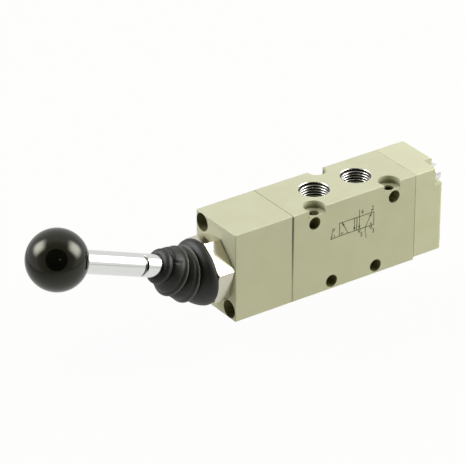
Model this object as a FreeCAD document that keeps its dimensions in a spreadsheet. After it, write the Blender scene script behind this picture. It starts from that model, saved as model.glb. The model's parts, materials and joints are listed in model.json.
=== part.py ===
import FreeCAD, Part
import math
import os
import re

import Sketcher
from FreeCAD import Placement, Rotation, Vector

# Hand lever air valve, five ports and two positions, in millimetres.
# The origin is the centre of port 1's mouth on the underside, +Z is up and +X runs to the end cap.
# The lever leaves the -X end on the bore's centre line and rests at the top of its travel.
# The lever's inner end is a bell crank: its ball end sits in a cross hole of the driver's tongue
# and moves the driver and the spool along the bore. A spring ring snaps into one of two grooves
# on the driver's stem, so the lever stays where the hand leaves it.

SIZES = {
    # Valve body: its length follows from the ports
    "body_width": 21.0,
    "body_height": 30.3,
    "edge_round": 0.4,
    "seal_bore": 11.2,
    # Ports: the bore is the thread's major diameter
    "port_pitch": 16.0,
    "port_edge": 7.5,
    "port_bore": 9.73,
    "port_rim": 10.0,
    "port_depth": 7.5,
    "port_cone": 1.2,
    "passage_bore": 5.0,
    # Mounting holes through the sides: the upper pair near the corners, the lower pair between ports
    "side_hole": 4.2,
    "upper_hole_end": 8.2,
    "upper_hole_drop": 5.05,
    "lower_hole_shift": 0.55,
    "lower_hole_height": 2.8,
    # Mounting holes down through the near edge, their head pockets, and the far edge's notch
    "down_hole": 3.2,
    "down_hole_edge": 1.9,
    "pocket_end": 9.1,
    "pocket_edge": 1.8,
    "pocket_bore": 7.0,
    "pocket_depth": 2.5,
    "notch_bore": 6.2,
    "notch_edge": 0.8,
    # End pieces
    "gasket_thickness": 0.25,
    "gasket_inset": 0.15,
    "block_length": 21.25,
    "cap_length": 11.0,
    "cap_rise": 0.85,
    "cap_round": 1.2,
    # Screws that hold the end pieces, one above and one below the bore in each
    "screw_edge": 3.25,
    "screw_shank": 3.0,
    "screw_lead": 0.4,
    "screw_head": 5.5,
    "screw_head_height": 2.7,
    "screw_head_break": 0.3,
    "screw_socket": 2.5,
    "socket_depth": 1.5,
    "screw_hole": 3.4,
    "tapped_hole": 3.02,
    "block_screw_grip": 5.5,
    "cap_screw_grip": 4.65,
    "head_bore": 6.0,
    "head_bore_depth": 13.0,
    "relief_bore": 5.8,
    "relief_depth": 3.15,
    # Hex bushing that carries the lever
    "nut_flats": 19.0,
    "nut_length": 5.9,
    "nut_turn": 14.7,
    "nut_crown": 0.3,
    "nut_seat": 0.5,
    "bushing_bore": 14.4,
    "shank_wall": 1.0,
    "shank_length": 5.0,
    "shank_lead": 0.5,
    "lip_wall": 1.1,
    "lip_length": 1.8,
    "lip_catch": 0.2,
    # Lever and its pivot
    "pivot_reach": 3.86,
    "rest_tilt": 20.88,
    "pin_diameter": 3.0,
    "pin_engagement": 1.5,
    "lever_length": 56.5,
    "eye_diameter": 7.8,
    "neck_diameter": 6.4,
    "neck_length": 17.0,
    "rod_diameter": 7.2,
    "groove_place": 25.3,
    "groove_width": 0.8,
    "groove_depth": 0.4,
    "groove_break": 0.3,
    "crank_ball": 3.0,
    "crank_neck": 1.8,
    # Ball knob and its threaded insert
    "ball_diameter": 19.2,
    "ball_flat": 8.4,
    "insert_diameter": 7.8,
    "insert_length": 10.5,
    "rod_thread": 5.0,
    "rod_thread_length": 9.0,
    # Boot: places are distances from the pivot, and folds stand above a cone from foot to collar
    "boot_wall": 0.8,
    "boot_length": 18.7,
    "first_fold": 5.2,
    "fold_pitch": 4.1,
    "fold_rise": 1.4,
    "valley_gap": 1.5,
    "valley_depth": 0.6,
    "collar_length": 2.3,
    "collar_wall": 1.2,
    "ring_lean": 0.6,
    # Driver
    "tongue_wall": 1.0,
    "disc_thickness": 3.5,
    "stem_diameter": 5.2,
    "driver_thread": 3.0,
    "driver_thread_length": 4.5,
    # Spool, seals and spacers
    "seal_depth": 2.1,
    "waist_depth": 1.4,
    "land_ramp": 0.4,
    "spool_overhang": 1.0,
    "seal_width": 2.0,
    "seal_opening": 0.9,
    "spacer_wall": 1.3,
    "spacer_rim": 1.2,
    "spacer_relief": 0.4,
    "spacer_window": 2.6,
    # Detent bush and what it holds
    "bush_divider": 2.9,
    "bush_step": 1.2,
    "detent_inset": 3.0,
    "detent_wire": 0.9,
    "detent_depth": 0.3,
    "detent_gap": 35.0,
    "stem_seal_width": 1.4,
    "stem_seal_depth": 1.6,
    "stem_seal_wall": 0.8,
    "bumper_thickness": 1.2,
    # Clearances
    "shaft_clearance": 0.05,
    "crank_clearance": 0.08,
    "boot_clearance": 0.15,
    "moving_clearance": 0.35,
}

# Places along X, and diameters and lengths that follow from the sizes.
# The driver and the spool are given at mid travel.
PLACES = {
    "body_length": "2 * port_pitch + 2 * port_edge",
    "body_front": "-body_length / 2",
    "body_rear": "body_length / 2",
    "axis_height": "body_height / 2",
    "screw_side": "body_width / 2 - screw_edge",
    "screw_rise": "body_height / 2 - screw_edge",
    "block_rear": "body_front - gasket_thickness",
    "block_front": "block_rear - block_length",
    "cap_front": "body_rear + gasket_thickness",
    "cap_rear": "cap_front + cap_length",
    "nut_front": "block_front - nut_length",
    "shank_diameter": "bushing_bore + 2 * shank_wall",
    "lip_diameter": "bushing_bore + 2 * lip_wall",
    "driver_diameter": "bushing_bore - 2 * moving_clearance",
    "pivot_x": "block_front - pivot_reach",
    "eye_half": "sqrt((bushing_bore / 2)^2 - (eye_diameter / 2)^2) - moving_clearance",
    "crank_radius": "driver_diameter / 2 - crank_ball / 2",
    "half_stroke": "crank_radius * sin(rest_tilt * 1deg)",
    "hole_front": "pivot_x - crank_ball / 2 - crank_clearance",
    "tongue_front": "hole_front - tongue_wall",
    "tongue_floor": "eye_diameter / 2 + moving_clearance",
    "disc_front": "pivot_x + eye_diameter / 2 + moving_clearance + half_stroke",
    "disc_rear": "disc_front + disc_thickness",
    "cavity_end": "disc_rear + half_stroke + moving_clearance",
    "spool_diameter": "seal_bore - 2 * seal_depth",
    "waist_diameter": "spool_diameter - 2 * waist_depth",
    "chamber_bore": "spool_diameter + 2 * moving_clearance",
    "bush_diameter": "seal_bore + 2 * bush_step",
    "stem_seal_diameter": "stem_diameter + 2 * stem_seal_depth",
    "seal_pitch": "port_pitch / 2",
    "stack_half": "port_pitch * 5 / 4 + seal_width / 2",
    "spool_half": "stack_half + spool_overhang",
    "chamber_end": "spool_half + half_stroke + moving_clearance",
    "bush_front": "cavity_end + bush_divider",
    "detent_place": "bush_front + detent_inset",
    "stem_seal_place": "-chamber_end - stem_seal_wall - stem_seal_width / 2",
    "waist_shift": "seal_width / 2 + seal_opening",
    "head_seat": "block_front + head_bore_depth",
    "cap_seat": "cap_rear - relief_depth",
    "block_tip": "body_front + block_screw_grip",
    "cap_tip": "body_rear - cap_screw_grip",
    "ball_base": "sqrt((ball_diameter / 2)^2 - (ball_flat / 2)^2)",
    "rod_end": "lever_length - ball_base",
    "boot_foot": "nut_length - pivot_reach",
    "boot_lip": "lip_diameter / 2 + shaft_clearance",
    "collar_bore": "rod_diameter / 2 + boot_clearance",
    "collar_start": "boot_length - collar_length",
}

ALONG = {
    "X": Rotation(Vector(0, 1, 0), 90),
    "-X": Rotation(Vector(0, 1, 0), -90),
    "Y": Rotation(Vector(1, 0, 0), -90),
    "Z": Rotation(),
}
# A turned piece is drawn along X, so it needs turns of its own
TURNED_ALONG = {
    "X": Rotation(),
    "-X": Rotation(Vector(0, 0, 1), 180),
    "Z": Rotation(Vector(0, 1, 0), -90),
    "-Z": Rotation(Vector(0, 1, 0), 90),
}
OVERRUN = 1.0
TINY = 1e-6
SEAL_COUNT = 6
FOLD_COUNT = 3
BOOT_STEPS = 3
NODES = []

doc = FreeCAD.newDocument("hand_lever_air_valve")
sizes = doc.addObject("Spreadsheet::Sheet", "sizes")
places = doc.addObject("Spreadsheet::Sheet", "places")


def formula(text, inside_places=False):
    """The expression for a formula written in the names of the two sheets."""

    def full_name(match):
        word = match.group(0)
        if word in SIZES:
            return "sizes." + word
        if word in PLACES and not inside_places:
            return "places." + word
        return word

    return re.sub(r"\b[a-z_]+\b", full_name, text)


def fill_sheets():
    for row, (alias, value) in enumerate(SIZES.items(), start=1):
        sizes.set(f"A{row}", alias)
        sizes.set(f"B{row}", str(value))
        sizes.setAlias(f"B{row}", alias)
    doc.recompute()
    for row, (alias, text) in enumerate(PLACES.items(), start=1):
        places.set(f"A{row}", alias)
        places.set(f"B{row}", "=" + formula(text, inside_places=True))
        places.setAlias(f"B{row}", alias)
    doc.recompute()


def size(name):
    return float(getattr(sizes if name in SIZES else places, name))


def bind(item, **sized):
    """Tie properties of a document object to formulas."""
    for name, text in sized.items():
        item.setExpression(name, formula(text))
    return item


def locate(item, x="0", y="0", z="0", turn=None):
    """Turn an object, then tie its base point to formulas."""
    if turn is not None:
        item.Placement = Placement(Vector(), turn)
    for axis, text in zip("xyz", (x, y, z)):
        item.setExpression(f"Placement.Base.{axis}", formula(text))
    return item


def cylinder(name, diameter, length, x="0", y="0", z="0", along="X"):
    item = doc.addObject("Part::Cylinder", name)
    bind(item, Radius=f"({diameter}) / 2", Height=length)
    return locate(item, x, y, z, ALONG[along])


def box(name, length, width, height, x="0", y="0", z="0"):
    item = doc.addObject("Part::Box", name)
    bind(item, Length=length, Width=width, Height=height)
    return locate(item, x, y, z)


def ball(name, diameter, x="0", y="0", z="0"):
    item = doc.addObject("Part::Sphere", name)
    bind(item, Radius=f"({diameter}) / 2")
    return locate(item, x, y, z)


def fuse(name, pieces):
    item = doc.addObject("Part::MultiFuse", name)
    item.Shapes = pieces
    return item


def cut(name, base, tools):
    tool = tools[0] if len(tools) == 1 else fuse(name + "_cutters", tools)
    item = doc.addObject("Part::Cut", name)
    item.Base = base
    item.Tool = tool
    return item


def common(name, first, second):
    item = doc.addObject("Part::MultiCommon", name)
    item.Shapes = [first, second]
    return item


def node(item, label):
    """Mark a finished sub-part, whose label names its file."""
    item.Label = label
    NODES.append(item)
    return item


def origin_plane(body, role):
    return next(item for item in body.Origin.OriginFeatures if item.Role == role)


def profile_sketch(body, name, corners):
    """A closed outline whose corners are tied to (along, radius) formulas from the body's origin."""
    sketch = body.newObject("Sketcher::SketchObject", name)
    sketch.AttachmentSupport = [(origin_plane(body, "XZ_Plane"), "")]
    sketch.MapMode = "FlatFace"
    count = len(corners)
    # The solver starts from rough points on a circle and moves them to the tied places
    rough = [
        Vector(10 * math.cos(2 * math.pi * i / count), 20 - 10 * math.sin(2 * math.pi * i / count), 0)
        for i in range(count)
    ]
    for i in range(count):
        sketch.addGeometry(Part.LineSegment(rough[i], rough[(i + 1) % count]), False)
    for i in range(count):
        sketch.addConstraint(Sketcher.Constraint("Coincident", i, 2, (i + 1) % count, 1))
    for i, corner in enumerate(corners):
        tie_corner(sketch, i, corner, rough[i])
    return sketch


def tie_corner(sketch, line, corner, start):
    """Tie the start of one line: a zero keeps it on the axis, a formula gives its distance."""
    horizontal_axis, vertical_axis = -1, -2
    for kind, text, value, axis in (
        ("DistanceX", corner[0], start.x, vertical_axis),
        ("DistanceY", corner[1], start.y, horizontal_axis),
    ):
        if text == "0":
            sketch.addConstraint(Sketcher.Constraint("PointOnObject", line, 1, axis))
            continue
        index = sketch.addConstraint(Sketcher.Constraint(kind, -1, 1, line, 1, value))
        sketch.setExpression(f"Constraints[{index}]", formula(text))


def turned(name, corners, x="0", y="0", z="0", along="X"):
    """A piece turned on a lathe: a profile revolved about its own X axis."""
    body = doc.addObject("PartDesign::Body", name)
    sketch = profile_sketch(body, name + "_profile", corners)
    revolution = body.newObject("PartDesign::Revolution", name + "_revolution")
    revolution.Profile = sketch
    revolution.ReferenceAxis = (sketch, ["H_Axis"])
    revolution.Angle = 360
    return locate(body, x, y, z, TURNED_ALONG[along])


def free_edges(shape, joints):
    """Names of a block's edges, apart from those round the faces that meet another piece."""
    names = []
    for number, edge in enumerate(shape.Edges, start=1):
        bounds = edge.BoundBox
        at_front = "front" in joints and bounds.XMax < TINY
        at_rear = "rear" in joints and bounds.XMin > shape.BoundBox.XMax - TINY
        if not at_front and not at_rear:
            names.append(f"Edge{number}")
    return names


def upright_rear_edges(shape):
    """Names of the two upright edges at a block's rear."""
    return [
        f"Edge{number}" for number, edge in enumerate(shape.Edges, start=1)
        if edge.BoundBox.XMin > shape.BoundBox.XMax - TINY and edge.BoundBox.ZLength > TINY
    ]


def rounded_block(name, sides, base, joints, rear_round=None):
    """A block with its free edges rounded, and its upright rear edges rounded more where asked."""
    body = doc.addObject("PartDesign::Body", name)
    form = body.newObject("PartDesign::AdditiveBox", name + "_stock")
    bind(form, Length=sides[0], Width=sides[1], Height=sides[2])
    doc.recompute()
    if rear_round:
        corners = body.newObject("PartDesign::Fillet", name + "_corners")
        corners.Base = (form, upright_rear_edges(form.Shape))
        bind(corners, Radius=rear_round)
        doc.recompute()
        form = corners
    edges = body.newObject("PartDesign::Fillet", name + "_edges")
    edges.Base = (form, free_edges(form.Shape, joints))
    bind(edges, Radius="edge_round")
    return locate(body, *base)


def tilt(item):
    """Hang a level piece, drawn with the pivot at its origin, on the tilted lever."""
    item.Placement = Placement(Vector(), Rotation(Vector(0, 1, 0), size("rest_tilt")))
    item.setExpression("Placement.Base.x", formula("pivot_x"))
    item.setExpression("Placement.Base.z", formula("axis_height"))
    item.setExpression("Placement.Rotation.Angle", formula("rest_tilt * 1deg"))
    return item


def screw_line(side, level):
    """Y and Z of a screw's axis, from the side and the level that it is on."""
    return f"{side} * screw_side", f"axis_height + {level} * screw_rise"


# Each screw's name, its side along Y and its level along Z
BLOCK_SCREWS = (("block_screw_high", 1, 1), ("block_screw_low", -1, -1))
CAP_SCREWS = (("cap_screw_high", -1, 1), ("cap_screw_low", 1, -1))


def port_cutter(name, x, top):
    """The mouth's chamfer, the bore at the thread's major diameter, a drill cone and the passage."""
    reach = "body_height - axis_height" if top else "axis_height"
    corners = [
        (f"-{OVERRUN}", "0"),
        (f"-{OVERRUN}", "port_rim / 2"),
        ("0", "port_rim / 2"),
        ("(port_rim - port_bore) / 2", "port_bore / 2"),
        ("port_depth", "port_bore / 2"),
        ("port_depth + port_cone", "passage_bore / 2"),
        (reach, "passage_bore / 2"),
        (reach, "0"),
    ]
    return turned(name, corners, x, "0", "body_height" if top else "0", "-Z" if top else "Z")


def make_valve_body():
    stock = rounded_block(
        "body_block", ("body_length", "body_width", "body_height"),
        ("body_front", "-body_width / 2", "0"), ("front", "rear"),
    )
    through = f"body_width + {2 * OVERRUN}"
    side = f"-body_width / 2 - {OVERRUN}"
    pocket = "(body_length / 2 - pocket_end)"
    cutters = [
        cylinder(
            "seal_bore_cutter", "seal_bore", f"body_length + {2 * OVERRUN}",
            f"body_front - {OVERRUN}", "0", "axis_height",
        )
    ]
    for number, steps in (("5", -2), ("1", 0), ("3", 2)):
        cutters.append(port_cutter("port_" + number, f"{steps} * seal_pitch", False))
    for number, steps in (("4", -1), ("2", 1)):
        cutters.append(port_cutter("port_" + number, f"{steps} * seal_pitch", True))
    for hand, word in ((-1, "front"), (1, "rear")):
        cutters.append(cylinder(
            f"upper_{word}_hole", "side_hole", through,
            f"{hand} * (body_length / 2 - upper_hole_end)", side, "body_height - upper_hole_drop", "Y",
        ))
        cutters.append(cylinder(
            f"lower_{word}_hole", "side_hole", through,
            f"{hand} * (seal_pitch + lower_hole_shift)", side, "lower_hole_height", "Y",
        ))
        cutters.append(cylinder(
            f"{word}_pocket", "pocket_bore", f"pocket_depth + {OVERRUN}",
            f"{hand} * {pocket}", "pocket_edge - body_width / 2", "body_height - pocket_depth", "Z",
        ))
        cutters.append(cylinder(
            f"down_{word}_hole", "down_hole", f"body_height + {2 * OVERRUN}",
            f"{hand} * {pocket}", "down_hole_edge - body_width / 2", f"-{OVERRUN}", "Z",
        ))
    cutters.append(cylinder(
        "far_notch", "notch_bore", f"pocket_depth + {OVERRUN}",
        "0", "body_width / 2 - notch_edge", "body_height - pocket_depth", "Z",
    ))
    for name, side, level in BLOCK_SCREWS:
        cutters.append(cylinder(
            name + "_tapping", "tapped_hole", f"block_screw_grip + moving_clearance + {OVERRUN}",
            f"body_front - {OVERRUN}", *screw_line(side, level),
        ))
    for name, side, level in CAP_SCREWS:
        cutters.append(cylinder(
            name + "_tapping", "tapped_hole", f"cap_screw_grip + moving_clearance + {OVERRUN}",
            "cap_tip - moving_clearance", *screw_line(side, level),
        ))
    node(cut("valve_body_machined", stock, cutters), "valve_body")


def make_actuator_block():
    stock = rounded_block(
        "actuator_stock", ("block_length", "body_width", "body_height"),
        ("block_front", "-body_width / 2", "0"), ("rear",),
    )
    cutters = [
        cylinder(
            "shank_hole", "shank_diameter", f"shank_length + moving_clearance + {OVERRUN}",
            f"block_front - {OVERRUN}", "0", "axis_height",
        ),
        cylinder("driver_cavity", "bushing_bore", "cavity_end - block_front", "block_front", "0", "axis_height"),
        cylinder(
            "stem_hole", "stem_diameter + 2 * moving_clearance", "block_length",
            "block_front", "0", "axis_height",
        ),
        cylinder(
            "bush_recess", "bush_diameter", f"block_rear - bush_front + {OVERRUN}",
            "bush_front", "0", "axis_height",
        ),
    ]
    for name, side, level in BLOCK_SCREWS:
        y, z = screw_line(side, level)
        cutters.append(cylinder(
            name + "_head_bore", "head_bore", f"head_bore_depth + {OVERRUN}",
            f"block_front - {OVERRUN}", y, z,
        ))
        cutters.append(cylinder(name + "_hole", "screw_hole", f"block_length + {OVERRUN}", "block_front", y, z))
    node(cut("actuator_machined", stock, cutters), "actuator_block")


def make_gasket(label, x, screws):
    """A thin sheet between two faces, with a hole for the bore and one for each screw."""
    sheet_cut = box(
        label + "_sheet", "gasket_thickness", "body_width - 2 * gasket_inset",
        "body_height - cap_rise - 2 * gasket_inset", x,
        "gasket_inset - body_width / 2", "cap_rise + gasket_inset",
    )
    length = f"gasket_thickness + {2 * OVERRUN}"
    start = f"{x} - {OVERRUN}"
    cutters = [cylinder(label + "_bore", "seal_bore", length, start, "0", "axis_height")]
    for name, side, level in screws:
        cutters.append(cylinder(f"{label}_{name}", "screw_hole", length, start, *screw_line(side, level)))
    node(cut(label + "_punched", sheet_cut, cutters), label)


def corner_relief(name, side, level):
    """The screw head's counterbore, opened to the cap's nearest side and to its top or bottom."""
    y, z = screw_line(side, level)
    depth = f"relief_depth + {OVERRUN}"
    opening = f"screw_edge + {OVERRUN}"
    side_start = y if side > 0 else f"-body_width / 2 - {OVERRUN}"
    level_start = z if level > 0 else f"-{OVERRUN}"
    below = f"{z} - relief_bore / 2"
    beside = f"{y} - relief_bore / 2"
    return [
        cylinder(name + "_relief_bore", "relief_bore", depth, "cap_seat", y, z),
        box(name + "_side_opening", depth, opening, "relief_bore", "cap_seat", side_start, below),
        box(name + "_end_opening", depth, "relief_bore", opening, "cap_seat", beside, level_start),
        box(name + "_corner_opening", depth, opening, opening, "cap_seat", side_start, level_start),
    ]


def make_end_cap():
    stock = rounded_block(
        "cap_stock", ("cap_length", "body_width", "body_height - cap_rise"),
        ("cap_front", "-body_width / 2", "cap_rise"), ("front",), "cap_round",
    )
    nose = cylinder("cap_nose", "seal_bore", "cap_front - stack_half", "stack_half", "0", "axis_height")
    cutters = [cylinder(
        "cap_chamber", "chamber_bore", f"chamber_end + bumper_thickness - stack_half + {OVERRUN}",
        f"stack_half - {OVERRUN}", "0", "axis_height",
    )]
    for name, side, level in CAP_SCREWS:
        cutters.append(cylinder(
            name + "_hole", "screw_hole", f"cap_length + {2 * OVERRUN}",
            f"cap_front - {OVERRUN}", *screw_line(side, level),
        ))
        cutters.extend(corner_relief(name, side, level))
    node(cut("cap_machined", fuse("cap_rough", [stock, nose]), cutters), "end_cap")
    bumper = cylinder(
        "bumper", "chamber_bore - 2 * shaft_clearance", "bumper_thickness",
        "chamber_end", "0", "axis_height",
    )
    node(bumper, "end_bumper")


def make_screws(label, screws, seat, length, along):
    """Socket head screws of one end piece, joined in one node as separate solids."""
    head_start = "-screw_head_height"
    solids = []
    for name, side, level in screws:
        y, z = screw_line(side, level)
        blank = turned(
            name, [
                (head_start, "0"),
                (head_start, "screw_head / 2 - screw_head_break"),
                ("screw_head_break - screw_head_height", "screw_head / 2"),
                ("0", "screw_head / 2"),
                ("0", "screw_shank / 2"),
                (f"{length} - screw_lead", "screw_shank / 2"),
                (length, "screw_shank / 2 - screw_lead"),
                (length, "0"),
            ],
            seat, y, z, along,
        )
        socket = doc.addObject("Part::Prism", name + "_socket")
        socket.Polygon = 6
        bind(socket, Circumradius="screw_socket / 2 / cos(30deg)", Height=f"socket_depth + {OVERRUN}")
        into = f"{seat} - (screw_head_height + {OVERRUN})" if along == "X" else (
            f"{seat} + screw_head_height + {OVERRUN}"
        )
        locate(socket, into, y, z, ALONG[along])
        solids.append(cut(name + "_cut", blank, [socket]))
    group = doc.addObject("Part::Compound", label + "_pair")
    group.Links = solids
    node(group, label)


def make_hex_bushing():
    """Hexagon with its front corners broken and a round seat behind, a boot lip and a threaded shank."""
    prism = doc.addObject("Part::Prism", "nut_prism")
    prism.Polygon = 6
    bind(prism, Circumradius="nut_flats / 2 / cos(30deg)", Height="nut_length")
    turn = Rotation(Vector(1, 0, 0), size("nut_turn")).multiply(ALONG["X"])
    locate(prism, "nut_front", "0", "axis_height", turn)
    corner = "nut_flats / 2 / cos(30deg)"
    blank = turned(
        "nut_blank", [
            ("0", "0"),
            ("0", corner + " - nut_crown"),
            ("2 * nut_crown", corner + " + nut_crown"),
            ("nut_length - nut_seat", corner + " + nut_crown"),
            ("nut_length - nut_seat", "nut_flats / 2 - nut_seat / 2"),
            ("nut_length", "nut_flats / 2 - nut_seat / 2"),
            ("nut_length", "0"),
        ],
        "nut_front", "0", "axis_height",
    )
    hexagon = common("nut_hexagon", prism, blank)
    barrel = turned(
        "bushing_barrel", [
            ("-lip_length", "bushing_bore / 2"),
            ("-lip_length", "lip_diameter / 2"),
            ("-lip_length / 2", "lip_diameter / 2"),
            ("lip_catch - lip_length / 2", "lip_diameter / 2 - lip_catch"),
            ("nut_seat", "lip_diameter / 2 - lip_catch"),
            ("nut_seat", "shank_diameter / 2"),
            ("nut_length + shank_length - shank_lead", "shank_diameter / 2"),
            ("nut_length + shank_length", "shank_diameter / 2 - shank_lead"),
            ("nut_length + shank_length", "bushing_bore / 2"),
        ],
        "nut_front", "0", "axis_height",
    )
    bore = cylinder(
        "bushing_bore_cutter", "bushing_bore", f"nut_length + {2 * OVERRUN}",
        f"nut_front - {OVERRUN}", "0", "axis_height",
    )
    # The pin goes in from the far side and stops in the near wall
    pin_start = "-bushing_bore / 2 - pin_engagement"
    pin_hole = cylinder(
        "pin_hole", "pin_diameter", "bushing_bore / 2 + pin_engagement + nut_flats",
        "pivot_x", pin_start, "axis_height", "Y",
    )
    node(cut("bushing_machined", fuse("bushing_rough", [hexagon, barrel]), [bore, pin_hole]), "hex_bushing")
    pin = cylinder(
        "pin", "pin_diameter", "bushing_bore + 2 * pin_engagement", "pivot_x", pin_start, "axis_height", "Y",
    )
    node(pin, "pivot_pin")


def make_lever_rod():
    rod = turned("rod", [
        ("0", "0"),
        ("0", "neck_diameter / 2"),
        ("-neck_length", "neck_diameter / 2"),
        ("-neck_length", "rod_diameter / 2"),
        ("groove_width / 2 + groove_break - groove_place", "rod_diameter / 2"),
        ("groove_width / 2 - groove_place", "rod_diameter / 2 - groove_break"),
        ("groove_width / 2 - groove_place", "rod_diameter / 2 - groove_depth"),
        ("-groove_width / 2 - groove_place", "rod_diameter / 2 - groove_depth"),
        ("-groove_width / 2 - groove_place", "rod_diameter / 2 - groove_break"),
        ("-groove_width / 2 - groove_break - groove_place", "rod_diameter / 2"),
        ("-rod_end", "rod_diameter / 2"),
        ("-rod_end", "rod_thread / 2"),
        ("-rod_end - rod_thread_length", "rod_thread / 2"),
        ("-rod_end - rod_thread_length", "0"),
    ])
    eye = cylinder("lever_eye", "eye_diameter", "2 * eye_half", "0", "-eye_half", "0", "Y")
    neck = cylinder("crank_neck", "crank_neck", "crank_radius", along="Z")
    end_ball = ball("crank_end", "crank_ball", z="crank_radius")
    pin_hole = cylinder(
        "eye_bore", "pin_diameter + 2 * shaft_clearance", f"2 * eye_half + {2 * OVERRUN}",
        "0", f"-eye_half - {OVERRUN}", "0", "Y",
    )
    node(tilt(cut("lever_machined", fuse("lever_rough", [rod, eye, neck, end_ball]), [pin_hole])), "lever_rod")


def make_knob():
    sphere = ball("knob_sphere", "ball_diameter", "-lever_length")
    base_trim = box(
        "knob_base_trim", "ball_diameter", "ball_diameter", "ball_diameter",
        "-rod_end", "-ball_diameter / 2", "-ball_diameter / 2",
    )
    cavity = cylinder("insert_cavity", "insert_diameter", f"insert_length + {OVERRUN}", "-rod_end - insert_length")
    node(tilt(cut("knob_moulded", sphere, [base_trim, cavity])), "ball_knob")
    insert_blank = cylinder("insert_blank", "insert_diameter", "insert_length", "-rod_end - insert_length")
    thread = cylinder(
        "insert_thread", "rod_thread", f"rod_thread_length + moving_clearance + {OVERRUN}",
        "-rod_end - rod_thread_length - moving_clearance",
    )
    node(tilt(cut("insert_machined", insert_blank, [thread])), "knob_insert")


def stem_groove(place):
    """Four corners of a tapered groove for the spring ring, from front to rear."""
    top = "stem_diameter / 2"
    floor = "stem_diameter / 2 - detent_depth"
    return [
        (f"{place} - detent_wire * 2 / 3", top),
        (f"{place} - detent_wire / 3", floor),
        (f"{place} + detent_wire / 3", floor),
        (f"{place} + detent_wire * 2 / 3", top),
    ]


def make_driver():
    """Disc and stem turned in one, with the tongue left standing above the lever's eye."""
    stem = turned("driver_stem", [
        ("disc_front", "0"),
        ("disc_front", "driver_diameter / 2"),
        ("disc_rear", "driver_diameter / 2"),
        ("disc_rear", "stem_diameter / 2"),
        *stem_groove("detent_place - half_stroke"),
        *stem_groove("detent_place + half_stroke"),
        ("-spool_half", "stem_diameter / 2"),
        ("-spool_half", "driver_thread / 2"),
        ("driver_thread_length - spool_half", "driver_thread / 2"),
        ("driver_thread_length - spool_half", "0"),
    ])
    bar = cylinder("tongue_bar", "driver_diameter", "disc_rear - tongue_front", "tongue_front")
    slab = box(
        "tongue_slab", "disc_rear - tongue_front", "driver_diameter", "driver_diameter",
        "tongue_front", "-driver_diameter / 2", "tongue_floor",
    )
    cross_hole = cylinder(
        "tongue_hole", "crank_ball + 2 * crank_clearance", "driver_diameter", "pivot_x", "0", "0", "Z",
    )
    whole = fuse("driver_rough", [stem, common("tongue", bar, slab)])
    driver = cut("driver_machined", whole, [cross_hole])
    locate(driver, "half_stroke", "0", "axis_height")
    node(driver, "spool_driver")


def make_spool():
    """Lands seal, and each waist opens past one seal at one end of the travel."""
    land = "spool_diameter / 2"
    waist = "waist_diameter / 2"
    corners = [("-spool_half", "driver_thread / 2 + shaft_clearance"), ("-spool_half", land)]
    for sign in (-1, 0, 1):
        half = "waist_shift" if sign else "(seal_pitch / 2 + waist_shift - half_stroke)"
        centre = f"{sign} * (3 / 2 * seal_pitch + half_stroke)"
        corners += [
            (f"{centre} - {half}", land),
            (f"{centre} - {half} + land_ramp", waist),
            (f"{centre} + {half} - land_ramp", waist),
            (f"{centre} + {half}", land),
        ]
    depth = "driver_thread_length + moving_clearance - spool_half"
    corners += [
        ("spool_half - land_ramp", land),
        ("spool_half", f"{land} - land_ramp"),
        ("spool_half", "0"),
        (depth, "0"),
        (depth, "driver_thread / 2 + shaft_clearance"),
    ]
    node(turned("spool_turned", corners, "half_stroke", "0", "axis_height"), "spool")


def make_seal_stack():
    outer = "seal_bore / 2"
    lip = "spool_diameter / 2 + shaft_clearance"
    for number in range(SEAL_COUNT):
        place = f"{2 * number - SEAL_COUNT + 1} / 2 * seal_pitch"
        seal = turned(
            f"seal_{number + 1}", [
                ("-seal_width / 2", outer),
                ("seal_width / 2", outer),
                ("seal_width / 2", f"{lip} + seal_width / 4"),
                ("seal_width / 5", lip),
                ("-seal_width / 5", lip),
                ("-seal_width / 2", f"{lip} + seal_width / 4"),
            ],
            place, "0", "axis_height",
        )
        node(seal, f"spool_seal_{number + 1}")
    half = "(seal_pitch - seal_width) / 2"
    for number in range(SEAL_COUNT - 1):
        name = f"spacer_{number + 1}"
        place = f"{number - (SEAL_COUNT - 2) // 2} * seal_pitch"
        ring = turned(
            name, [
                (f"-{half}", outer),
                (f"spacer_rim - {half}", outer),
                (f"spacer_rim - {half}", f"{outer} - spacer_relief"),
                (f"{half} - spacer_rim", f"{outer} - spacer_relief"),
                (f"{half} - spacer_rim", outer),
                (half, outer),
                (half, f"{outer} - spacer_wall"),
                (f"-{half}", f"{outer} - spacer_wall"),
            ],
            place, "0", "axis_height",
        )
        upright = cylinder(
            name + "_upright", "spacer_window", "seal_bore", place, "0", f"axis_height - {outer}", "Z",
        )
        level = cylinder(name + "_level", "spacer_window", "seal_bore", place, f"-{outer}", "axis_height", "Y")
        node(cut(name + "_drilled", ring, [upright, level]), f"spool_spacer_{number + 1}")


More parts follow.
